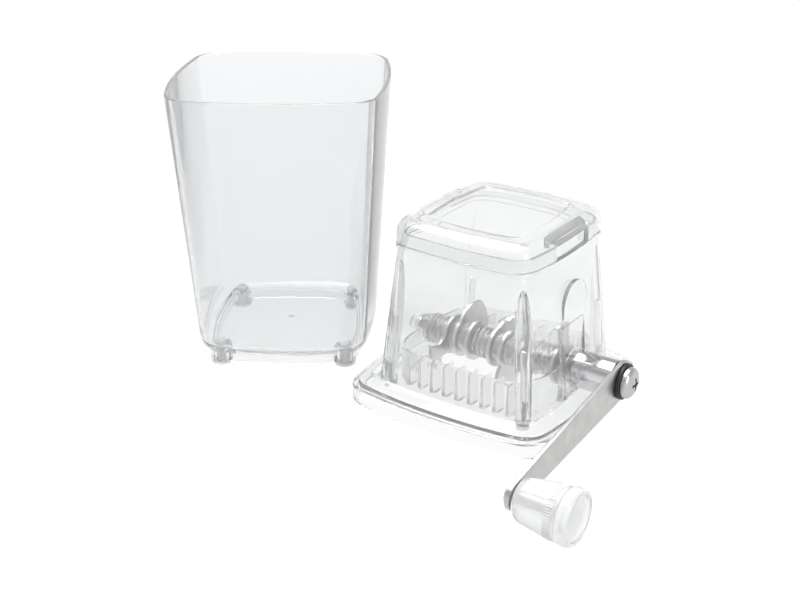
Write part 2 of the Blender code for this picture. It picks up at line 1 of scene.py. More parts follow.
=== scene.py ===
import json
import math

import bmesh
import bpy
from mathutils import Matrix, Vector

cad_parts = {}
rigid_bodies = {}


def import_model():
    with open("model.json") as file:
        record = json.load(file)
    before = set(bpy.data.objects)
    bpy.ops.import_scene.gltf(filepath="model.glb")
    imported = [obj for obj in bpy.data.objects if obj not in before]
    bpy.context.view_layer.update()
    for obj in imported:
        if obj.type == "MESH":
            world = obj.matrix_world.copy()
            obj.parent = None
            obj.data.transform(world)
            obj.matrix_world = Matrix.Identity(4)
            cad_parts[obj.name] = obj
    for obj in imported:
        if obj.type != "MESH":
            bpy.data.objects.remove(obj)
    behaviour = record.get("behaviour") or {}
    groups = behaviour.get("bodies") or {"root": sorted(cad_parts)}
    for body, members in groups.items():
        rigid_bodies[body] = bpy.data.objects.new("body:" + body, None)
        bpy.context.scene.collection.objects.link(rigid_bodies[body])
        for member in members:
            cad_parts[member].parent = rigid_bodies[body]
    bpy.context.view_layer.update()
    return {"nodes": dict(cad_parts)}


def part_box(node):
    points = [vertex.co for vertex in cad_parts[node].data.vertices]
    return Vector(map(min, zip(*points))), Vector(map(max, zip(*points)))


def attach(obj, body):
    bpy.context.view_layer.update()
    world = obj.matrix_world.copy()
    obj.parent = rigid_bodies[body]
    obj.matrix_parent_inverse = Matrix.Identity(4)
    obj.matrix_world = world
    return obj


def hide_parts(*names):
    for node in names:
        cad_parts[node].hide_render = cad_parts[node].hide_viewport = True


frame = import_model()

print("frame loaded")

mm = 0.001


def centreOf(name):
    low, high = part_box(name)
    return (low + high) / 2


headAt = Vector((centreOf("housing").x, centreOf("housing").y, 0)) / mm  # head frame's origin, in mm
jarAt = Vector((centreOf("container").x, centreOf("container").y, 0)) / mm
shaftZ = centreOf("sleeve").z / mm
knobAt = centreOf("knob_cap") / mm


# small tools: every shape below is drawn in mm and put in its place as it is made

def cornerRound(path, radius, steps=4, closed=False):  # softens each corner of an open or closed path
    made = []
    count = len(path)
    for k, point in enumerate(path):
        if not closed and k in (0, count - 1):
            made.append(tuple(point))
            continue
        here = Vector(point)
        before, after = Vector(path[k - 1]), Vector(path[(k + 1) % count])
        back, ahead = before - here, after - here
        reach = min(radius, back.length * 0.45, ahead.length * 0.45)
        if reach < 0.02 or abs(back.angle(ahead, math.pi) - math.pi) < 0.05:
            made.append(tuple(point))
            continue
        start, end = here + back.normalized() * reach, here + ahead.normalized() * reach
        for step in range(steps + 1):
            share = step / steps
            made.append(tuple(start * (1 - share) ** 2 + here * 2 * share * (1 - share) + end * share ** 2))
    return made


def planRing(halfX, halfY, corner, bow, height, sideSteps=14, cornerSteps=10):
    points = []  # a square with round corners whose sides bulge out
    for side in range(4):
        half, reach = (halfY, halfX) if side % 2 == 0 else (halfX, halfY)
        length = half - corner - bow
        bend = (length ** 2 + bow ** 2) / (2 * bow)
        sweep = math.asin(length / bend)
        nextLength = reach - corner - bow
        nextBend = (nextLength ** 2 + bow ** 2) / (2 * bow)
        last = math.pi / 2 - math.asin(nextLength / nextBend)
        turn = Matrix.Rotation(math.pi / 2 * side, 3, "Z")
        centre = Vector((reach - corner - bend, 0, 0))
        for step in range(sideSteps + 1):
            angle = -sweep + 2 * sweep * step / sideSteps
            points.append(turn @ (centre + (bend + corner) * Vector((math.cos(angle), math.sin(angle), 0))))
        middle = Vector((reach - corner - bow, length, 0))
        for step in range(1, cornerSteps):
            angle = sweep + (last - sweep) * step / cornerSteps
            points.append(turn @ (middle + corner * Vector((math.cos(angle), math.sin(angle), 0))))
    return [point + Vector((0, 0, height)) for point in points]


def meshObject(name, build):
    mesh = bpy.data.meshes.new(name)
    bmesh.ops.recalc_face_normals(build, faces=build.faces)
    build.to_mesh(mesh)
    build.free()
    made = bpy.data.objects.new(name, mesh)
    bpy.context.scene.collection.objects.link(made)
    return made


def skin(name, rings, at, yaw=0.0, tube=False):  # joins plan rings into one shell
    build = bmesh.new()
    turn = Matrix.Rotation(math.radians(yaw), 3, "Z")
    rows = [[build.verts.new((turn @ point + at) * mm) for point in ring] for ring in rings]
    pairs = list(zip(rows, rows[1:])) + ([(rows[-1], rows[0])] if tube else [])
    for low, high in pairs:
        for k in range(len(low)):
            build.faces.new((low[k - 1], low[k], high[k], high[k - 1]))
    if not tube:
        for row in (rows[0], rows[-1]):
            build.faces.new(row)
    return meshObject(name, build)


def turned(name, profile, at, lying=True, closed=False, steps=72):  # (radius, height) points round an axis
    build = bmesh.new()
    rows = []
    for radius, height in profile:
        row = []
        for k in range(1 if radius < 0.001 else steps):
            angle = 2 * math.pi * k / steps
            u, v = radius * math.cos(angle), radius * math.sin(angle)
            spot = Vector((height, u, v)) if lying else Vector((u, v, height))
            row.append(build.verts.new((spot + at) * mm))
        rows.append(row)
    for low, high in list(zip(rows, rows[1:])) + ([(rows[-1], rows[0])] if closed else []):
        for k in range(steps):
            around = [low[k % len(low)], low[(k + 1) % len(low)],
                      high[(k + 1) % len(high)], high[k % len(high)]]
            corners = list(dict.fromkeys(around))
            if len(corners) > 2:
                build.faces.new(corners)
    return meshObject(name, build)


def block(name, low, high):  # a plain tool for cutting and joining
    build = bmesh.new()
    bmesh.ops.create_cube(build, size=1.0)
    low, high = Vector(low), Vector(high)
    for vert in build.verts:
        vert.co = ((low + high) / 2 + Vector([vert.co[k] * (high - low)[k] for k in range(3)])) * mm
    return meshObject(name, build)


def arched(name, halfWidth, low, top, near, far, at):  # a slab with a round top, from near to far along X
    outline = [(-halfWidth, low), (halfWidth, low)]
    outline += [(halfWidth * math.cos(math.pi * k / 24),
                 top - halfWidth + halfWidth * math.sin(math.pi * k / 24)) for k in range(25)]
    build = bmesh.new()
    faces = [[build.verts.new((Vector((x, u, v)) + at) * mm) for u, v in outline] for x in (near, far)]
    for row in faces:
        build.faces.new(row)
    for k in range(len(outline)):
        build.faces.new((faces[0][k - 1], faces[0][k], faces[1][k], faces[1][k - 1]))
    return meshObject(name, build)


def shapeWith(piece, steps):  # joins and cuts, then keeps the plain result
    for how, tool in steps:
        change = piece.modifiers.new(how, "BOOLEAN")
        change.operation, change.solver, change.object = how, "EXACT", tool
    settle(piece)
    for how, tool in steps:
        bpy.data.objects.remove(tool)
    return piece


def settle(piece):  # modifiers become plain mesh
    bpy.context.view_layer.update()
    view = bpy.context.evaluated_depsgraph_get()
    mesh = bpy.data.meshes.new_from_object(piece.evaluated_get(view))
    old = piece.data
    piece.modifiers.clear()
    if isinstance(old, bpy.types.Mesh):
        piece.data = mesh
        return piece
    made = bpy.data.objects.new(piece.name, mesh)
    bpy.context.scene.collection.objects.link(made)
    mesh.transform(piece.matrix_world)
    name = piece.name
    bpy.data.objects.remove(piece)
    made.name = name
    return made


def finishPiece(piece, body, nodes, paint, sharp=35.0, merge=0.000002):
    build = bmesh.new()
    build.from_mesh(piece.data)
    bmesh.ops.remove_doubles(build, verts=build.verts, dist=merge)
    bmesh.ops.recalc_face_normals(build, faces=build.faces)
    build.to_mesh(piece.data)
    build.free()
    piece.data.materials.clear()
    piece.data.materials.append(paint)
    piece.data.shade_smooth()
    piece.data.set_sharp_from_angle(angle=math.radians(sharp))
    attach(piece, body)
    if nodes:
        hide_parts(*nodes)
    return piece


# materials

def linear(hexColor):
    made = []
    for k in (0, 2, 4):
        value = int(hexColor[k:k + 2], 16) / 255
        made.append(value / 12.92 if value <= 0.04045 else ((value + 0.055) / 1.055) ** 2.4)
    return (*made, 1.0)


def addNode(tree, kind, settings=None, links=None):
    node = tree.nodes.new(kind)
    for key, value in (settings or {}).items():
        if isinstance(key, int) or key in node.inputs:
            node.inputs[key].default_value = value
        else:
            setattr(node, key, value)
    for key, socket in (links or {}).items():
        tree.links.new(socket, node.inputs[key])
    return node


def perMm(size):  # a noise scale whose cells are about this many mm
    return 1000.0 / size


def newMaterial(name):
    made = bpy.data.materials.new(name)
    made.use_nodes = True
    tree = made.node_tree
    tree.nodes.clear()
    out = addNode(tree, "ShaderNodeOutputMaterial")
    coords = addNode(tree, "ShaderNodeTexCoord").outputs["Object"]
    return made, tree, out, coords


def clearPlastic(name, settings):
    made, tree, out, coords = newMaterial(name)
    waves = addNode(tree, "ShaderNodeTexNoise", {"Scale": perMm(settings["waveMm"]), "Detail": 2.0},
                    {"Vector": coords})
    marks = addNode(tree, "ShaderNodeTexNoise", {"Scale": perMm(settings["markMm"]), "Detail": 6.0,
                                                 "Roughness": 0.65}, {"Vector": coords})
    rough = addNode(tree, "ShaderNodeMapRange", {"From Min": 0.35, "From Max": 0.75,
                                                 "To Min": settings["smooth"], "To Max": settings["worn"]},
                    {"Value": marks.outputs["Fac"]})
    swell = addNode(tree, "ShaderNodeBump", {"Strength": 1.0, "Distance": settings["swellMm"] * mm},
                    {"Height": waves.outputs["Fac"]})
    grain = addNode(tree, "ShaderNodeBump", {"Strength": settings["grain"], "Distance": 0.02 * mm},
                    {"Height": marks.outputs["Fac"], "Normal": swell.outputs["Normal"]})
    shader = addNode(tree, "ShaderNodeBsdfPrincipled", {
        "Base Color": linear(settings["color"]), "IOR": settings["ior"],
        "Transmission Weight": settings["through"], "Coat Weight": settings["gloss"], "Coat Roughness": 0.04},
        {"Roughness": rough.outputs["Result"], "Normal": grain.outputs["Normal"]})
    tree.links.new(shader.outputs["BSDF"], out.inputs["Surface"])
    return made


def brushedMetal(name, settings):
    made, tree, out, coords = newMaterial(name)
    lay = addNode(tree, "ShaderNodeMapping", {
        "Scale": [1.0 / size for size in settings["lineMm"]], "Rotation": settings.get("turn", (0, 0, 0))},
        {"Vector": coords})
    wide = addNode(tree, "ShaderNodeVectorMath", {"operation": "SCALE", "Scale": 1000.0},
                   {0: lay.outputs["Vector"]})
    lines = addNode(tree, "ShaderNodeTexNoise", {"Scale": 1.0, "Detail": 4.0, "Roughness": 0.7},
                    {"Vector": wide.outputs["Vector"]})
    cloud = addNode(tree, "ShaderNodeTexNoise", {"Scale": perMm(9.0), "Detail": 3.0}, {"Vector": coords})
    color = addNode(tree, "ShaderNodeMix", {"data_type": "RGBA"}, {"Factor": cloud.outputs["Fac"]})
    for socket in color.inputs:
        if socket.type == "RGBA":
            socket.default_value = linear(settings["dark" if socket.name == "A" else "light"])
    rough = addNode(tree, "ShaderNodeMapRange", {"To Min": settings["smooth"], "To Max": settings["worn"]},
                    {"Value": lines.outputs["Fac"]})
    scratch = addNode(tree, "ShaderNodeBump", {"Strength": settings["depth"], "Distance": 0.03 * mm},
                      {"Height": lines.outputs["Fac"]})
    shader = addNode(tree, "ShaderNodeBsdfPrincipled", {"Metallic": 1.0},
                     {"Base Color": [s for s in color.outputs if s.type == "RGBA"][0],
                      "Roughness": rough.outputs["Result"], "Normal": scratch.outputs["Normal"]})
    tree.links.new(shader.outputs["BSDF"], out.inputs["Surface"])
    return made


def solidPolymer(name, settings):
    made, tree, out, coords = newMaterial(name)
    grain = addNode(tree, "ShaderNodeTexNoise", {"Scale": perMm(settings["grainMm"]), "Detail": 4.0},
                    {"Vector": coords})
    color = addNode(tree, "ShaderNodeValToRGB", {}, {"Fac": grain.outputs["Fac"]})
    color.color_ramp.elements[0].color = linear(settings["dark"])
    color.color_ramp.elements[1].color = linear(settings["light"])
    bump = addNode(tree, "ShaderNodeBump", {"Strength": 0.3, "Distance": 0.04 * mm},
                   {"Height": grain.outputs["Fac"]})
    rough = addNode(tree, "ShaderNodeMapRange", {"To Min": settings["smooth"], "To Max": settings["worn"]},
                    {"Value": grain.outputs["Fac"]})
    shader = addNode(tree, "ShaderNodeBsdfPrincipled", {
        "IOR": 1.5, "Transmission Weight": settings["through"]},
        {"Base Color": color.outputs["Color"], "Roughness": rough.outputs["Result"],
         "Normal": bump.outputs["Normal"]})
    tree.links.new(shader.outputs["BSDF"], out.inputs["Surface"])
    return made


# injection moulded acrylic, polished tool: water clear, faint swell in the walls, edges that go dark
clearAcrylic = clearPlastic("clearAcrylicMoulded", {
    "color": "FBFCFC", "ior": 1.4, "through": 0.91, "gloss": 0.2, "waveMm": 26.0, "markMm": 3.0,
    "smooth": 0.0, "worn": 0.03, "swellMm": 0.05, "grain": 0.04})
# container: the same plastic with a trace of grey, thin walls, only the edges draw a line
containerAcrylic = clearPlastic("containerAcrylicMoulded", {
    "color": "F5F6F7", "ior": 1.36, "through": 0.9, "gloss": 0.3, "waveMm": 30.0, "markMm": 3.0,
    "smooth": 0.0, "worn": 0.03, "swellMm": 0.04, "grain": 0.04})
# the same plastic from a blasted tool: hazy, so what is behind it is soft
hazyAcrylic = clearPlastic("hazyAcrylicMoulded", {
    "color": "FDFDFD", "ior": 1.14, "through": 0.88, "gloss": 0.25, "waveMm": 14.0, "markMm": 0.9,
    "smooth": 0.04, "worn": 0.12, "swellMm": 0.06, "grain": 0.15})
# spacer tubes: cast and turned, a little milky, so the shaft inside is only guessed at
ringAcrylic = clearPlastic("milkyAcrylicTurned", {
    "color": "F4F4F2", "ior": 1.49, "through": 0.72, "gloss": 0.5, "waveMm": 5.0, "markMm": 0.7,
    "smooth": 0.04, "worn": 0.14, "swellMm": 0.08, "grain": 0.3})
# knob: clear with a hand worn haze
knobAcrylic = clearPlastic("knobAcrylicMoulded", {
    "color": "FCFDFD", "ior": 1.4, "through": 0.66, "gloss": 0.3, "waveMm": 8.0, "markMm": 0.8,
    "smooth": 0.12, "worn": 0.3, "swellMm": 0.05, "grain": 0.25})
# stamped and tumbled stainless sheet: even grey with small soft clouds
bladeSteel = brushedMetal("stainlessStamped", {
    "dark": "B2B2B1", "light": "DADAD8", "lineMm": (0.6, 0.6, 3.0), "smooth": 0.2, "worn": 0.42,
    "depth": 0.25})
# stainless flat bar brushed along its length: long fine lines
crankSteel = brushedMetal("stainlessBrushedBar", {
    "dark": "ABABAA", "light": "CFCFCD", "lineMm": (0.4, 26.0, 0.35), "turn": (math.radians(6.4), 0, 0),
    "smooth": 0.22, "worn": 0.42, "depth": 0.35})
# bright nickel chrome plate on turned tube: sharp reflections, hair lines round it
chromePlate = brushedMetal("chromePlated", {
    "dark": "C2C2C4", "light": "DCDCDE", "lineMm": (0.35, 14.0, 14.0), "smooth": 0.04, "worn": 0.14,
    "depth": 0.08})
# turned nylon: near black, slight sheen
blackNylon = solidPolymer("blackNylonTurned", {
    "dark": "101010", "light": "1E1E1E", "grainMm": 0.5, "smooth": 0.35, "worn": 0.55, "through": 0.0})
# soft moulded rubber: pale, dull, some light through it
footRubber = solidPolymer("greyRubberMoulded", {
    "dark": "F2F3F4", "light": "F8F8F9", "grainMm": 0.7, "smooth": 0.3, "worn": 0.5, "through": 0.45})
print("materials made")


# geometry nodes

class NodePlan:
    def __init__(self, name, sockets):
        self.tree = bpy.data.node_groups.new(name, "GeometryNodeTree")
        self.ids = {}
        self.tree.interface.new_socket("Geometry", in_out="INPUT", socket_type="NodeSocketGeometry")
        for label, kind in sockets.items():
            made = self.tree.interface.new_socket(label, in_out="INPUT", socket_type="NodeSocket" + kind)
            self.ids[label] = made.identifier
        self.tree.interface.new_socket("Geometry", in_out="OUTPUT", socket_type="NodeSocketGeometry")
        self.given = self.tree.nodes.new("NodeGroupInput")
        self.out = self.tree.nodes.new("NodeGroupOutput")

    def add(self, kind, settings=None, links=None):
        return addNode(self.tree, kind, settings, links)

    def math(self, how, a, b=None):
        node = self.tree.nodes.new("ShaderNodeMath")
        node.operation = how
        for k, value in enumerate((a, b)):
            if value is None:
                continue
            if isinstance(value, (int, float)):
                node.inputs[k].default_value = value
            else:
                self.tree.links.new(value, node.inputs[k])
        return node.outputs[0]

    def end(self, geometry):
        solid = self.add("GeometryNodeRealizeInstances", {}, {"Geometry": geometry})
        paint = self.add("GeometryNodeSetMaterial", {}, {"Geometry": solid.outputs[0],
                                                         "Material": self.given.outputs["Material"]})
        self.tree.links.new(paint.outputs[0], self.out.inputs[0])

    def make(self, name, values, place):  # runs the tree once and keeps the plain mesh
        made = bpy.data.objects.new(name, bpy.data.meshes.new(name))
        bpy.context.scene.collection.objects.link(made)
        change = made.modifiers.new("build", "NODES")
        change.node_group = self.tree
        for label, value in values.items():
            change[self.ids[label]] = value
        settle(made)
        made.data.transform(place)
        return made


def placed(at, turn=(0, 0, 0)):
    turned3 = Matrix.Rotation(math.radians(turn[2]), 4, "Z") @ Matrix.Rotation(
        math.radians(turn[1]), 4, "Y") @ Matrix.Rotation(math.radians(turn[0]), 4, "X")
    return Matrix.Translation(Vector(at) * mm) @ turned3


# container

jar = {
    "height": 160.0, "halfWidth": 61.0, "wall": 2.4, "draft": 9.4 / 142.0, "corner": 19.0, "bow": 3.4,
    "yaw": 32.2, "floorLow": 9.0, "floorTop": 12.0, "ringLow": 2.4, "ringInset": 5.5, "ringWall": 3.0,
}


def jarSide(height):
    return jar["halfWidth"] - (jar["height"] - height) * jar["draft"]


def jarRing(inset, height):
    half = jarSide(height)
    share = half / jar["halfWidth"]
    return planRing(half - inset, half - inset, jar["corner"] * share - inset, jar["bow"] * share, height)


underPath = cornerRound([
    (jar["ringInset"] + jar["ringWall"] + 4, jar["floorLow"]),
    (jar["ringInset"] + jar["ringWall"], jar["floorLow"]),
    (jar["ringInset"] + jar["ringWall"] - 0.4, jar["ringLow"]), (jar["ringInset"] - 0.4, jar["ringLow"]),
    (jar["ringInset"], jar["floorLow"]), (2.6, jar["floorLow"] + 0.3), (0.6, jar["floorLow"] + 3.2),
    (0, jar["floorLow"] + 9), (0, jar["height"]), (jar["wall"], jar["height"]),
    (jar["wall"], jar["floorTop"] + 9), (jar["wall"] + 0.7, jar["floorTop"] + 2.6),
    (jar["wall"] + 3.4, jar["floorTop"]), (jar["wall"] + 8, jar["floorTop"])], 0.8, 4)
container = skin("containerShell", [jarRing(*point) for point in underPath], jarAt, jar["yaw"])
sockets = []
for name in ("foot_front_left", "foot_front_right", "foot_rear_left", "foot_rear_right"):
    spot = centreOf(name) / mm
    level = Vector((spot.x, spot.y, 0))
    sockets.append(("UNION", turned("socket", [(0, 9.6), (6.5, 9.6), (6.5, jar["ringLow"]),
                                               (0, jar["ringLow"])], level, lying=False, steps=40)))
    sockets.append(("DIFFERENCE", turned("hole", [(0, 20), (3.3, 20), (3.3, 0), (0, 0)], level,
                                         lying=False, steps=32)))
shapeWith(container, sockets)
finishPiece(container, "container", ["container"], containerAcrylic)
gateMark = turned("containerGateMark", [(0, 0.7), (1.1, 0.62), (1.9, 0.3), (2.1, 0.03), (0, 0.03)],
                  jarAt + Vector((0, 0, jar["floorTop"])), lying=False, steps=32)
finishPiece(gateMark, "container", [], containerAcrylic)
print("container made")

# head housing

head = {
    "flangeHalf": 65.0, "flangeCorner": 17.0, "flangeBow": 3.4, "skirtWall": 3.4, "skirtHeight": 9.0,
    "deckUnder": 6.5, "wallFoot": 13.0, "wallHalf": 51.0, "wall": 2.6, "corner": 12.6, "bow": 1.9,
    "draftX": math.tan(math.radians(5.8)), "draftY": math.tan(math.radians(3.93)), "seam": 91.5,
    "beadHeight": 3.0, "lip": 1.0, "neckHeight": 5.5, "padFace": 47.0, "padBack": 44.7, "arch": 11.0,
    "archTop": 74.5, "capHole": 7.1, "bushHole": 7.6,
}
pillar = {"at": (41.5, 41.47), "foot": 10.06, "width": 8.3, "round": 48.2, "tip": 81.9, "lean": (3.9, 2.3),
          "hole": 1.9, "holeTop": 21.9, "coreTop": 40.0}


def wallHalves(height, inset=0.0):
    rise = height - head["wallFoot"]
    return tuple(head["wallHalf"] - head[draft] * rise - inset for draft in ("draftX", "draftY"))


def wallRing(inset, height):
    return planRing(*wallHalves(height, inset), max(head["corner"] - inset, 2.0), head["bow"], height)


def flangeRing(inset, height):
    half = head["flangeHalf"] - inset
    return planRing(half, half, head["flangeCorner"] - min(inset, 4.0), head["flangeBow"], height)


skirtTop, seam = head["skirtHeight"], head["seam"]
flangePath = cornerRound([(head["skirtWall"], head["deckUnder"]), (head["skirtWall"], 0), (0, 0),
                          (0, skirtTop), (3.4, skirtTop + 0.2), (4.0, skirtTop + 1.9),
                          (6.5, skirtTop + 2.5)], 1.1, 4)
wallPath = cornerRound([(-3.0, head["wallFoot"] - 1.0), (-0.2, head["wallFoot"] + 0.4),
                        (0, head["wallFoot"] + 3), (0, seam - head["beadHeight"]),
                        (-head["lip"], seam - head["beadHeight"] + 0.3),
                        (-head["lip"], seam - 0.3), (2.0, seam - 0.3), (2.0, seam + head["neckHeight"]),
                        (4.0, seam + head["neckHeight"]), (head["wall"], seam - 7.0),
                        (head["wall"], head["wallFoot"])], 0.6, 4)
innerHalf = head["wallHalf"] - head["wall"]
innerRings = [planRing(innerHalf + extra, innerHalf + extra, head["corner"] - head["wall"], head["bow"],
                       height) for extra, height in ((0, 8.4), (0.5, 7.2), (1.5, head["deckUnder"]))]
housing = skin("housingShell", [flangeRing(*point) for point in flangePath]
               + [wallRing(*point) for point in wallPath] + innerRings, headAt, tube=True)
cheek = block("cheek", (-2.0, -head["arch"] - 1.6, -21.0), (0.6, head["arch"] + 1.6, 21.0))
cheek.data.transform(placed(headAt + Vector((wallHalves(31.0, 2.2)[0], 0, 31.0)), (0, -5.8, 0)))
changes = [
    ("UNION", arched("pad", head["arch"] + 1.6, 9.7, head["archTop"] + 1.6, head["padBack"],
                     head["padFace"], headAt)),
    ("UNION", cheek),
    ("DIFFERENCE", arched("pocket", head["arch"], head["wallFoot"], head["archTop"], head["padFace"],
                          66.0, headAt)),
]
for u in (-1, 1):
    for v in (-1, 1):
        half, lean = pillar["width"] / 2, (v * pillar["lean"][1], -u * pillar["lean"][0], 0)
        foot = headAt + Vector((u * pillar["at"][0], v * pillar["at"][1], 0))
        low = pillar["foot"]
        spike = [(half * math.cos(math.pi / 2 * k / 10) ** 0.8,
                  pillar["round"] - low + (pillar["tip"] - pillar["round"]) * math.sin(math.pi / 2 * k / 10))
                 for k in range(10)] + [(0.25, pillar["tip"] - low)]
        boss = turned("boss", [(0, spike[-1][1] + 0.1)] + spike[::-1] + [(half, 0), (0, 0)], Vector(),
                      lying=False, steps=36)
        boss.data.transform(placed(foot + Vector((0, 0, low)), lean))
        core = turned("core", [(0, pillar["coreTop"]), (1.3, pillar["coreTop"] - 1), (1.6, 6.0), (0, 6.0)],
                      Vector(), lying=False, steps=24)
        core.data.transform(placed(foot + Vector((0, 0, low)), lean))
        hole = turned("hole", [(0, pillar["holeTop"] + 1.4), (pillar["hole"], pillar["holeTop"]),
                               (pillar["hole"], 0), (0, 0)], foot, lying=False, steps=24)
        changes += [("UNION", boss), ("DIFFERENCE", core), ("DIFFERENCE", hole)]
axle = headAt + Vector((0, 0, shaftZ))
for radius, near, far in ((head["capHole"], -66, -40), (head["bushHole"], 40, 66)):
    changes.append(("DIFFERENCE", turned("bore", [(0, far), (radius, far), (radius, near), (0, near)], axle)))
shapeWith(housing, changes)
finishPiece(housing, "head", ["housing"], clearAcrylic)
print("housing made")

# lid

lid = {"height": 13.5, "fillet": 9.0, "wall": 2.7, "notchHalf": 17.0, "notchHeight": 8.5, "notchDepth": 6.0}
lidX, lidY = wallHalves(seam, -head["lip"])
neckX, neckY = (half + 0.3 for half in wallHalves(seam, 2.0))


def lidRing(inset, height):
    return planRing(lidX - inset, lidY - inset, max(head["corner"] + head["lip"] - inset, 4.5), head["bow"],
                    height)


def skirtRing(inset, height):
    return planRing(neckX - inset, neckY - inset, max(head["corner"] - 1.7 - inset, 3.5), head["bow"], height)


def quarter(radius, low, steps=9):
    angles = [math.pi / 2 * k / steps for k in range(steps + 1)]
    return [(radius * (1 - math.cos(angle)), low + radius * math.sin(angle)) for angle in angles]


ceiling, innerFillet = lid["height"] - lid["wall"], lid["fillet"] - lid["wall"]
outside = [(0.5, 0), (0.15, 0.12), (0, 0.5)] + quarter(lid["fillet"], lid["height"] - lid["fillet"])
outside += [(14.0, lid["height"]), (14.5, lid["height"] - 0.1), (15.1, lid["height"] - 0.7),
            (15.6, lid["height"] - 0.9), (17.0, lid["height"] - 0.9)]
inside = [(15.0, ceiling - 0.9), (14.0, ceiling - 0.85), (13.2, ceiling - 0.15), (12.6, ceiling)]
inside += quarter(innerFillet, ceiling - innerFillet)[::-1] + [(0, 0.5), (-0.1, 0.1)]
lidShell = skin("lidShell", [skirtRing(*point) for point in inside] + [skirtRing(-0.3, 0)]
                + [lidRing(*point) for point in outside], headAt + Vector((0, 0, seam)))
changes = []
for side in (-1, 1):
    near, far = sorted((side * (lidX - lid["notchDepth"] - 2.2), side * (lidX - 4.5)))
    changes.append(("UNION", block("web", headAt + Vector((near, -lid["notchHalf"] - 2, seam + 6.1)),
                                   headAt + Vector((far, lid["notchHalf"] + 2, seam + ceiling + 0.5)))))
    near, far = sorted((side * (lidX - lid["notchDepth"]), side * (lidX + 3)))
    changes.append(("DIFFERENCE", block(
        "notch", headAt + Vector((near, -lid["notchHalf"], seam - 2)),
        headAt + Vector((far, lid["notchHalf"], seam + lid["notchHeight"])))))
shapeWith(lidShell, changes)
finishPiece(lidShell, "lid", ["lid"], clearAcrylic)
print("lid made")

# trough insert with its finger ribs

trough = {"half": (44.0, 41.47), "corner": 18.0, "wall": 2.0, "low": 7.0, "deck": 9.4, "top": 29.0,
          "lip": 47.6, "lipCorner": 8.0, "capSlot": 9.3, "shaftSlot": 6.3}


def troughRing(inset, height):
    halfX, halfY = trough["half"]
    return planRing(halfX - inset, halfY - inset, trough["corner"] - inset, 1.0, height)


def lipRing(inset, height):
    half = trough["lip"] - inset
    return planRing(half, half, trough["lipCorner"], head["bow"], height)


troughShell = skin("troughShell", [
    troughRing(trough["wall"], trough["low"]), lipRing(0.4, trough["low"]), lipRing(0, trough["low"] + 0.4),
    lipRing(0, trough["deck"] - 0.4), lipRing(0.4, trough["deck"]), troughRing(-0.8, trough["deck"]),
    troughRing(0, trough["deck"] + 0.8), troughRing(0, trough["top"] - 0.5), troughRing(0.5, trough["top"]),
    troughRing(trough["wall"] - 0.5, trough["top"]), troughRing(trough["wall"], trough["top"] - 0.5)],
    headAt, tube=True)
changes = []
for side, reach in ((-1, trough["capSlot"]), (1, trough["shaftSlot"])):
    near, far = sorted(side * (trough["half"][0] + extra) for extra in (-3.6, 1.5))
    changes.append(("DIFFERENCE", turned("slot", [(0, far), (reach, far), (reach, near), (0, near)], axle)))
    changes.append(("DIFFERENCE", block("mouth", headAt + Vector((near, -reach, shaftZ)),
                                        headAt + Vector((far, reach, 36.0)))))
for u in (-1, 1):
    for v in (-1, 1):
        foot = headAt + Vector((u * pillar["at"][0], v * pillar["at"][1], 0))
        changes.append(("DIFFERENCE", turned("hole", [(0, 11), (pillar["hole"], 11), (pillar["hole"], 5),
                                                      (0, 5)], foot, lying=False, steps=24)))
shapeWith(troughShell, changes)
finishPiece(troughShell, "head", ["trough"], hazyAcrylic)

ribs = {"count": 9, "depth": 8.47, "thick": 1.8, "low": 7.6, "top": 26.5, "span": 62.5}
plan = NodePlan("fingerRibs", {"Count": "Int", "Span": "Float", "Thickness": "Float", "Depth": "Float",
                               "Height": "Float", "Apart": "Float", "Material": "Material"})
given = plan.given.outputs
size = plan.add("ShaderNodeCombineXYZ", {}, {"X": given["Thickness"], "Y": given["Depth"],
                                             "Z": given["Height"]})
rib = plan.add("GeometryNodeMeshCube", {"Vertices X": 2, "Vertices Y": 4, "Vertices Z": 6},
               {"Size": size.outputs[0]})
spot = plan.add("GeometryNodeInputPosition")
axes = plan.add("ShaderNodeSeparateXYZ", {}, {"Vector": spot.outputs[0]})
lean = plan.math("MULTIPLY", axes.outputs["Z"], -0.06)  # each rib gets a little thinner to its top
thin = plan.math("MULTIPLY", plan.math("SIGN", axes.outputs["X"]), plan.math("MULTIPLY", lean, 0.5))
offset = plan.add("ShaderNodeCombineXYZ", {}, {"X": thin})
shaped = plan.add("GeometryNodeSetPosition", {}, {"Geometry": rib.outputs["Mesh"],
                                                  "Offset": offset.outputs[0]})
stepX = plan.math("DIVIDE", given["Span"], plan.math("SUBTRACT", given["Count"], 1))
first = plan.add("ShaderNodeCombineXYZ", {}, {"X": plan.math("MULTIPLY", given["Span"], -0.5)})
stride = plan.add("ShaderNodeCombineXYZ", {}, {"X": stepX})
row = plan.add("GeometryNodeMeshLine", {}, {"Count": given["Count"], "Start Location": first.outputs[0],
                                            "Offset": stride.outputs[0]})
rows = []
for side in (-0.5, 0.5):
    away = plan.add("ShaderNodeCombineXYZ", {}, {"Y": plan.math("MULTIPLY", given["Apart"], side)})
    moved = plan.add("GeometryNodeSetPosition", {}, {"Geometry": row.outputs[0], "Offset": away.outputs[0]})
    rows.append(plan.add("GeometryNodeInstanceOnPoints", {}, {"Points": moved.outputs[0],
                                                              "Instance": shaped.outputs[0]}).outputs[0])
both = plan.add("GeometryNodeJoinGeometry")
for geometry in rows:
    plan.tree.links.new(geometry, both.inputs[0])
plan.end(both.outputs[0])
inner = trough["half"][1] - trough["wall"]
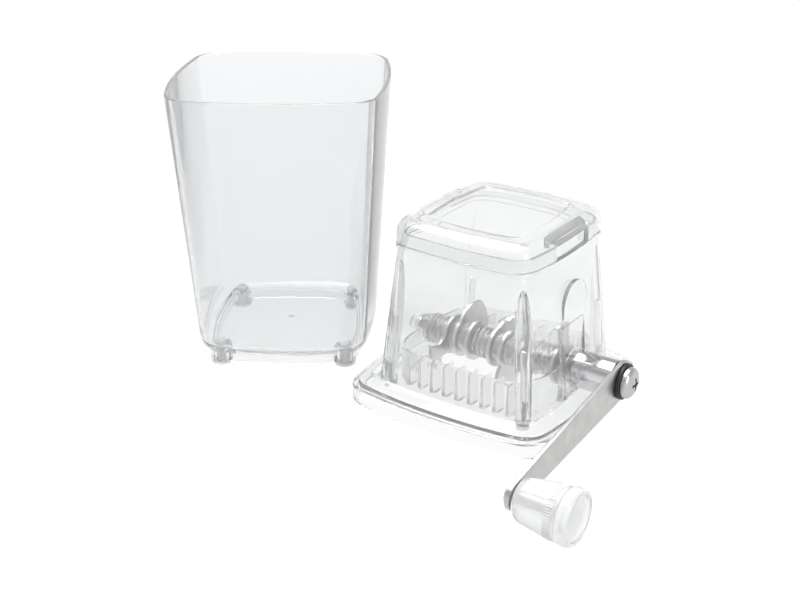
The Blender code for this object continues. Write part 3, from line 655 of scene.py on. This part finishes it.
fingerRibs = plan.make("troughRibs", {
    "Count": ribs["count"], "Span": ribs["span"] * mm, "Thickness": ribs["thick"] * mm,
    "Depth": ribs["depth"] * mm, "Height": (ribs["top"] - ribs["low"]) * mm,
    "Apart": (2 * inner - ribs["depth"] - 0.1) * mm, "Material": hazyAcrylic},
    placed(headAt + Vector((0, 0, (ribs["top"] + ribs["low"]) / 2))))
finishPiece(fingerRibs, "head", [], hazyAcrylic)
print("trough made")

# four housing screws: head, core and a rolled thread each

screws = {"shank": 1.25, "thread": 0.42, "pitch": 1.35, "threadLow": 7.0, "threadTop": 20.6, "headLow": 4.4,
          "headTop": 6.7, "headRadius": 3.5}
plan = NodePlan("housingScrews", {"Wide": "Float", "Deep": "Float", "Shank": "Float", "Thread": "Float",
                                  "Turns": "Float", "Length": "Float", "Head Radius": "Float",
                                  "Head Height": "Float", "Material": "Material"})
given = plan.given.outputs
core = plan.add("GeometryNodeMeshCylinder", {"Vertices": 24}, {"Radius": given["Shank"],
                                                               "Depth": given["Length"]})
half = plan.add("ShaderNodeCombineXYZ", {}, {"Z": plan.math("MULTIPLY", given["Length"], 0.5)})
coreUp = plan.add("GeometryNodeTransform", {}, {"Geometry": core.outputs["Mesh"],
                                                "Translation": half.outputs[0]})
helix = plan.add("GeometryNodeCurveSpiral", {"Resolution": 20}, {
    "Rotations": given["Turns"], "Start Radius": given["Shank"], "End Radius": given["Shank"],
    "Height": given["Length"]})
crest = plan.add("GeometryNodeCurvePrimitiveCircle", {"Resolution": 3}, {"Radius": given["Thread"]})
ridge = plan.add("GeometryNodeCurveToMesh", {"Fill Caps": True}, {"Curve": helix.outputs[0],
                                                                  "Profile Curve": crest.outputs[0]})
cap = plan.add("GeometryNodeMeshCylinder", {"Vertices": 32, "Side Segments": 2},
               {"Radius": given["Head Radius"], "Depth": given["Head Height"]})
drop = plan.add("ShaderNodeCombineXYZ", {}, {"Z": plan.math("MULTIPLY", given["Head Height"], -0.5)})
capDown = plan.add("GeometryNodeTransform", {}, {"Geometry": cap.outputs["Mesh"],
                                                 "Translation": drop.outputs[0]})
whole = plan.add("GeometryNodeJoinGeometry")
for geometry in (coreUp.outputs[0], ridge.outputs[0], capDown.outputs[0]):
    plan.tree.links.new(geometry, whole.inputs[0])
corners = plan.add("GeometryNodeMeshGrid", {"Vertices X": 2, "Vertices Y": 2}, {"Size X": given["Wide"],
                                                                                "Size Y": given["Deep"]})
spread = plan.add("GeometryNodeInstanceOnPoints", {}, {"Points": corners.outputs[0],
                                                       "Instance": whole.outputs[0]})
plan.end(spread.outputs[0])
threadLength = screws["threadTop"] - screws["threadLow"]
housingScrews = plan.make("housingScrews", {
    "Wide": 2 * pillar["at"][0] * mm, "Deep": 2 * pillar["at"][1] * mm, "Shank": screws["shank"] * mm,
    "Thread": screws["thread"] * mm, "Turns": threadLength / screws["pitch"], "Length": threadLength * mm,
    "Head Radius": screws["headRadius"] * mm, "Head Height": (screws["headTop"] - screws["headLow"]) * mm,
    "Material": bladeSteel}, placed(headAt + Vector((0, 0, screws["threadLow"] - 0.3))))
finishPiece(housingScrews, "head", ["housing_screw_front_left", "housing_screw_front_right",
                                    "housing_screw_rear_left", "housing_screw_rear_right"],
            bladeSteel)
print("housing screws made")

# bearings

bearing = {"capFace": -40.0, "capEnd": -56.03, "small": 4.0, "large": 9.0, "bush": 10.8, "bushNeck": 7.3,
           "bore": 5.4, "bushFace": 47.3}
capPath = cornerRound([(0, bearing["capEnd"]), (bearing["small"], bearing["capEnd"]),
                       (bearing["large"], bearing["capFace"] - 1.0),
                       (bearing["large"] - 0.4, bearing["capFace"]), (5.6, bearing["capFace"]),
                       (5.6, bearing["capFace"] - 5.6), (3.1, bearing["capFace"] - 5.9),
                       (3.1, bearing["capFace"] - 11.9), (0, bearing["capFace"] - 11.9)], 0.5, 3)
bearingCap = turned("bearingCap", capPath, axle, steps=12)
finishPiece(bearingCap, "head", ["bearing_cap"], clearAcrylic, sharp=20.0)
bushPath = cornerRound([(bearing["bore"], 3.2), (bearing["bush"], 3.2), (bearing["bush"], 0),
                        (bearing["bushNeck"], 0), (bearing["bushNeck"], -2.5), (bearing["bore"], -2.5)],
                       0.4, 3, closed=True)
bush = turned("bearingBush", bushPath, axle + Vector((bearing["bushFace"], 0, 0)), closed=True)
finishPiece(bush, "head", ["bearing_bush"], hazyAcrylic)

# blades

blades = {"thick": 2.0, "bevel": 0.22, "hub": 12.0, "reach": 25.5, "wingReach": 24.2, "tallReach": 24.6,
          "hex": 5.5, "span": 42.0}


def polar(radius, degrees):
    return radius * math.cos(math.radians(degrees)), radius * math.sin(math.radians(degrees))


def arcPoints(radius, start, end, steps):
    return [polar(radius, start + (end - start) * k / steps) for k in range(steps + 1)]


def hollowEdge(start, end, depth, steps=12):
    start, end = Vector(start), Vector(end)
    left = Vector((start.y - end.y, end.x - start.x)).normalized()
    return [tuple(start.lerp(end, k / steps) + left * depth * 4 * (k / steps) * (1 - k / steps))
            for k in range(1, steps)]


def sharePoints(points):
    return [polar(share * blades["reach"], angle) for share, angle in points]


def wing(root, tip, reach, hollow, rising=()):
    outline = arcPoints(blades["hub"], root[1], root[0] + 360, 48)
    outline += hollowEdge(outline[-1], polar(reach, tip[0]), hollow[0])
    outline += arcPoints(reach, tip[0], tip[1], 24)
    if rising:
        return outline + cornerRound([outline[-1]] + sharePoints(rising) + [outline[0]], 0.8, 2)[1:-1]
    return outline + hollowEdge(outline[-1], outline[0], hollow[1])


def plate(name, loops, thick, bevel, at, tilt=0.0):  # flat sheet across the shaft with eased edges
    shape = bpy.data.curves.new(name, "CURVE")
    shape.dimensions, shape.fill_mode = "2D", "BOTH"
    shape.extrude, shape.bevel_depth, shape.offset = (thick / 2 - bevel) * mm, bevel * mm, -bevel * mm
    shape.bevel_resolution = 2
    for loop in loops:
        line = shape.splines.new("POLY")
        line.points.add(len(loop) - 1)
        for point, (u, v) in zip(line.points, loop):
            point.co = (u * mm, v * mm, 0, 1)
        line.use_cyclic_u = True
    made = bpy.data.objects.new(name, shape)
    bpy.context.scene.collection.objects.link(made)
    across = Matrix(((0, 0, 1, 0), (1, 0, 0, 0), (0, 1, 0, 0), (0, 0, 0, 1)))
    made.matrix_world = placed(at, (tilt, 0, 0)) @ across
    return settle(made)


socket = [polar(blades["hex"], 60 * k) for k in range(6)]
notchedEdge = [(0.647, 219), (0.796, 226), (0.808, 240), (0.83, 250), (0.753, 251.5), (0.76, 257.5),
               (0.87, 259.5), (0.925, 268), (0.82, 269.5), (0.83, 274), (0.98, 275.5), (0.992, 281),
               (0.96, 286), (0.72, 289)]
stack = [
    ("hammerBlade", "hammer_blade", -0.62, wing((160, 236), (175, 216), blades["reach"], (3.6, 3.6))),
    ("finBlade", "fin_blade", -0.476, wing((-14, 117), (-12, 48), blades["wingReach"], (2.6, 0),
                                           ((0.785, 69), (0.635, 90), (0.525, 108)))),
    ("bladeDisc", "blade_disc", -0.286, arcPoints(blades["hub"], 0, 354, 59)),
    ("steppedBlade", "stepped_blade", 0.048, wing((-14, 92), (-12, 40), blades["wingReach"], (2.6, 0), (
        (0.86, 45), (0.67, 56), (0.6, 59), (0.59, 73), (0.5, 86)))),
    ("notchedBlade", "notched_blade", 0.214, arcPoints(blades["hub"], 296, 574, 48)
     + cornerRound(sharePoints(notchedEdge), 0.5, 2)),
    ("tallBlade", "tall_blade", 0.935, wing((66, 118), (84, 108), blades["tallReach"], (1.2, 3.0))),
]
for name, node, share, outline in stack:
    made = plate(name, [outline, socket], blades["thick"], blades["bevel"],
                 axle + Vector((share * blades["span"], 0, 0)))
    finishPiece(made, "crank", [node], bladeSteel, sharp=30.0)
print("blades made")

# spacer tubes, some with turned rings

tubes = {"radius": 9.2, "bore": 5.5, "groove": 1.5, "gap": 0.3}
plan = NodePlan("ringedTube", {"Length": "Float", "Radius": "Float", "Bore": "Float", "Groove": "Float",
                               "Rings": "Int", "Material": "Material"})
given = plan.given.outputs
section = plan.add("GeometryNodeCurvePrimitiveQuadrilateral", {}, {
    "Width": plan.math("SUBTRACT", given["Radius"], given["Bore"]), "Height": given["Length"]})
fine = plan.add("GeometryNodeResampleCurve", {"Count": 220}, {"Curve": section.outputs[0]})
spot = plan.add("GeometryNodeInputPosition")
axes = plan.add("ShaderNodeSeparateXYZ", {}, {"Vector": spot.outputs[0]})
phase = plan.math("MULTIPLY", plan.math("DIVIDE", axes.outputs["Y"], given["Length"]), 2 * math.pi)
wave = plan.math("COSINE", plan.math("MULTIPLY", phase, given["Rings"]))
sharpWave = plan.math("POWER", plan.math("ADD", plan.math("MULTIPLY", wave, 0.5), 0.5), 3.0)
outer = plan.math("GREATER_THAN", axes.outputs["X"], 0.0001)
inward = plan.math("MULTIPLY", plan.math("MULTIPLY", sharpWave, outer),
                   plan.math("MULTIPLY", given["Groove"], -1.0))
pull = plan.add("ShaderNodeCombineXYZ", {}, {"X": inward})
waved = plan.add("GeometryNodeSetPosition", {}, {"Geometry": fine.outputs[0], "Offset": pull.outputs[0]})
rail = plan.add("GeometryNodeCurvePrimitiveCircle", {"Resolution": 64}, {
    "Radius": plan.math("MULTIPLY", plan.math("ADD", given["Radius"], given["Bore"]), 0.5)})
body = plan.add("GeometryNodeCurveToMesh", {}, {"Curve": rail.outputs[0], "Profile Curve": waved.outputs[0]})
plan.end(body.outputs[0])
ends = [(bearing["capFace"], bearing["capFace"])]
ends += [(share * blades["span"] - blades["thick"] / 2, share * blades["span"] + blades["thick"] / 2)
         for name, node, share, outline in stack]
spacers = [("longSpacer", "long_spacer", 5), ("thinSpacer", "thin_spacer", 0),
           ("secondSpacer", "second_spacer", 0), ("middleSpacer", "middle_spacer", 4),
           ("shortSpacer", "short_spacer", 0), ("ringedSpacer", "ringed_spacer", 9)]
for (name, node, rings), (_, start), (end, _) in zip(spacers, ends, ends[1:]):
    length, middle = end - start - 2 * tubes["gap"], (start + end) / 2
    made = plan.make(name, {
        "Length": length * mm, "Radius": tubes["radius"] * mm, "Bore": tubes["bore"] * mm,
        "Groove": (tubes["groove"] if rings else 0.0) * mm, "Rings": max(rings, 1),
        "Material": ringAcrylic},
        placed(axle + Vector((middle, 0, 0)), (0, 90, 0)))
    finishPiece(made, "crank", [node], ringAcrylic)
print("spacers made")

# crank side stack

crank = {"sleeveStart": 50.8, "sleeveEnd": 73.3, "sleeve": 10.25, "bore": 5.4, "armStart": 74.3,
         "armThick": 2.5, "wide": 11.0, "narrow": 7.0, "length": 110.2, "drop": 6.4, "tang": 3.8,
         "pinHole": 3.3,
         "screwStart": 79.3, "dome": 8.4}
sleevePath = cornerRound([(crank["bore"], crank["sleeveEnd"]), (crank["sleeve"], crank["sleeveEnd"]),
                          (crank["sleeve"], crank["sleeveStart"]), (crank["bore"], crank["sleeveStart"])],
                         0.5, 3, closed=True)
sleeve = turned("chromeSleeve", sleevePath, axle, closed=True, steps=96)
finishPiece(sleeve, "crank", ["sleeve"], chromePlate)

lean = math.degrees(math.acos((crank["wide"] - crank["narrow"]) / crank["length"]))
armOutline = [(crank["length"] + u, v) for u, v in arcPoints(crank["narrow"], -lean, lean, 32)]
armOutline += arcPoints(crank["wide"], lean, 360 - lean, 48)
pinHole = [(crank["length"] + u, v) for u, v in arcPoints(crank["pinHole"], 0, 352, 44)]
turnBack = Matrix.Rotation(math.radians(-180 - crank["drop"]), 2)
tangHole = [tuple(turnBack @ Vector((u * crank["tang"], v * crank["tang"])))
            for u, v in ((1, 1), (-1, 1), (-1, -1), (1, -1))]
arm = plate("crankArmBar", [armOutline, tangHole, pinHole], crank["armThick"], 0.3,
            axle + Vector((crank["armStart"] + crank["armThick"] / 2, 0, 0)), tilt=180 + crank["drop"])
finishPiece(arm, "crank", ["crank_arm"], crankSteel, sharp=30.0)

dome = [(crank["dome"] * math.sin(math.pi / 2 * k / 12), 1.4 + 3.6 * math.cos(math.pi / 2 * k / 12))
        for k in range(13)]
screw = turned("crankScrewDome", dome + cornerRound([(crank["dome"], 0), (2.0, 0), (2.0, -19.5)], 0.2, 2)
               + [(0, -19.5)], axle + Vector((crank["screwStart"], 0, 0)))
slots = []
for wide, tall in ((0.75, 3.6), (3.6, 0.75)):
    at = axle + Vector((crank["screwStart"], 0, 0))
    cut = block("slot", at + Vector((2.4, -wide, -tall)), at + Vector((7, wide, tall)))
    slots.append(("DIFFERENCE", cut))
shapeWith(screw, slots)
finishPiece(screw, "crank", ["crank_screw"], crankSteel)
print("crank made")

# knob

knob = {"start": 77.7, "end": 102.6, "half": 14.0, "small": 0.80, "large": 0.95, "bore": 3.3,
        "counter": 6.6, "ribs": 64, "ribRadius": 0.32, "ribLength": 3.4}
grip, half = knob["end"] - knob["start"], knob["half"]
small, large = knob["small"] * half, knob["large"] * half
knobAxis = Vector((headAt.x, knobAt.y, knobAt.z))
knobPath = [(knob["counter"], grip), (large - 0.5, grip), (large, grip - 0.6), (large, grip - 1.4)]
knobPath += [(large - 0.25, grip - 1.7), (large - 0.25, grip - 5.4), (large - 0.1, grip - 5.8)]
knobPath += [(small + (large - 0.1 - small) * (k / 6), 6.5 + (grip - 12.3) * (k / 6))
             for k in range(6, 0, -1)]
knobPath += [(small - 6.0 + 6.0 * math.sin(math.pi / 2 * k / 9), 6.5 - 6.5 * math.cos(math.pi / 2 * k / 9))
             for k in range(9, -1, -1)]
knobPath += [(knob["bore"], 0), (knob["bore"], grip - 3.9), (knob["counter"], grip - 3.9)]
grips = turned("knobGrip", knobPath, knobAxis + Vector((knob["start"], 0, 0)), closed=True, steps=96)
finishPiece(grips, "knob", ["knob"], knobAcrylic)

plan = NodePlan("knobRibs", {"Count": "Int", "Ring": "Float", "Radius": "Float", "Length": "Float",
                             "Material": "Material"})
given = plan.given.outputs
around = plan.add("GeometryNodeCurvePrimitiveCircle", {}, {"Resolution": given["Count"],
                                                           "Radius": given["Ring"]})
dots = plan.add("GeometryNodeCurveToPoints", {"mode": "EVALUATED"}, {"Curve": around.outputs[0]})
bar = plan.add("GeometryNodeMeshCylinder", {"Vertices": 8, "Side Segments": 1},
               {"Radius": given["Radius"], "Depth": given["Length"]})
fan = plan.add("GeometryNodeInstanceOnPoints", {}, {"Points": dots.outputs["Points"],
                                                    "Instance": bar.outputs["Mesh"]})
plan.end(fan.outputs[0])
knobRibs = plan.make("knobRibs", {
    "Count": knob["ribs"], "Ring": (large - 0.2) * mm, "Radius": knob["ribRadius"] * mm,
    "Length": knob["ribLength"] * mm, "Material": knobAcrylic},
    placed(knobAxis + Vector((knob["end"] - 3.6, 0, 0)), (0, 90, 0)))
finishPiece(knobRibs, "knob", [], knobAcrylic)

capPath = cornerRound([(0, 4.9), (half - 3.4, 4.9), (half - 2.6, 6.2), (half - 1.0, 6.2), (half, 4.4),
                       (half, 0.8), (half - 0.6, 0), (6.2, 0), (6.2, -1.3), (0, -1.3)], 0.7, 4)
knobCap = turned("knobEndCap", capPath, knobAxis + Vector((knob["end"] + 0.3, 0, 0)), steps=96)
finishPiece(knobCap, "knob", ["knob_cap"], knobAcrylic)
print("knob made")

# CAD nodes that keep their shape get the finished materials

feet = ("foot_front_left", "foot_front_right", "foot_rear_left", "foot_rear_right")
for names, paint in ((feet, footRubber), (("drive_shaft",), bladeSteel), (("knob_pin",), crankSteel),
                     (("sleeve_washer", "screw_washer"), blackNylon)):
    for name in names:
        node = frame["nodes"][name]
        node.data.materials.clear()
        node.data.materials.append(paint)

# floor, light and camera

studio = {"floorSize": 9.0, "floorColor": "3C3C3C", "floorGlow": 1.0, "keyPower": 20.0, "sidePower": 5.0,
          "air": ((0.0, 1.0), (0.1, 1.0), (0.26, 0.92), (0.42, 0.62), (0.6, 0.5), (0.8, 0.75), (1.0, 0.95))}
build = bmesh.new()
bmesh.ops.create_grid(build, x_segments=1, y_segments=1, size=studio["floorSize"] / 2)
for vert in build.verts:
    vert.co.z = -0.00006
floor = meshObject("studioFloor", build)
floorPaint, tree, out, coords = newMaterial("paleSeamlessFloor")
haze = addNode(tree, "ShaderNodeTexNoise", {"Scale": 3.0}, {"Vector": coords})
rough = addNode(tree, "ShaderNodeMapRange", {"To Min": 0.85, "To Max": 0.95}, {"Value": haze.outputs["Fac"]})
shader = addNode(tree, "ShaderNodeBsdfPrincipled", {
    "Base Color": linear(studio["floorColor"]), "Emission Color": (1, 1, 1, 1),
    "Emission Strength": studio["floorGlow"], "Specular IOR Level": 0.0},
    {"Roughness": rough.outputs["Result"]})
tree.links.new(shader.outputs["BSDF"], out.inputs["Surface"])
floor.data.materials.append(floorPaint)

world = bpy.data.worlds.new("studioAir")
world.use_nodes = True
bpy.context.scene.world = world
tree = world.node_tree
tree.nodes.clear()
way = addNode(tree, "ShaderNodeSeparateXYZ", {}, {
    "Vector": addNode(tree, "ShaderNodeTexCoord").outputs["Generated"]})
fade = addNode(tree, "ShaderNodeValToRGB", {}, {"Fac": way.outputs["Z"]})
while len(fade.color_ramp.elements) < len(studio["air"]):
    fade.color_ramp.elements.new(0.5)
for stop, (height, level) in zip(fade.color_ramp.elements, studio["air"]):
    stop.position, stop.color = height, (level, level, level, 1.0)
sky = addNode(tree, "ShaderNodeBackground", {"Strength": 1.0}, {"Color": fade.outputs["Color"]})
tree.links.new(sky.outputs[0], addNode(tree, "ShaderNodeOutputWorld").inputs["Surface"])


def softLight(name, spot, aim, size, power):
    lamp = bpy.data.lights.new(name, "AREA")
    lamp.shape, lamp.size, lamp.size_y, lamp.energy = "RECTANGLE", size[0], size[1], power
    made = bpy.data.objects.new(name, lamp)
    made.location = spot
    made.rotation_euler = (Vector(aim) - Vector(spot)).to_track_quat("-Z", "Y").to_euler()
    bpy.context.scene.collection.objects.link(made)


middle = Vector((0.0, 0.0, 0.06))
softLight("overheadSoftbox", (-0.35, 0.15, 1.25), middle, (1.1, 1.1), studio["keyPower"])
softLight("sideSoftbox", (1.15, -0.35, 0.65), middle, (0.5, 0.9), studio["sidePower"])

view = {"at": (0.3606, -0.5098, 0.3322), "forward": (-0.52127, 0.74810, -0.41065), "lens": 56.3}
camera = bpy.data.objects.new("camera", bpy.data.cameras.new("camera"))
camera.data.lens, camera.data.sensor_width = view["lens"], 36.0
camera.data.clip_start = 0.01
camera.location = view["at"]
camera.rotation_euler = Vector(view["forward"]).to_track_quat("-Z", "Y").to_euler()
bpy.context.scene.collection.objects.link(camera)
bpy.context.scene.camera = camera
bpy.context.scene.view_settings.view_transform = "Standard"
for limit in ("max_bounces", "transmission_bounces", "transparent_max_bounces", "glossy_bounces"):
    setattr(bpy.context.scene.cycles, limit, 28)
print("studio made")
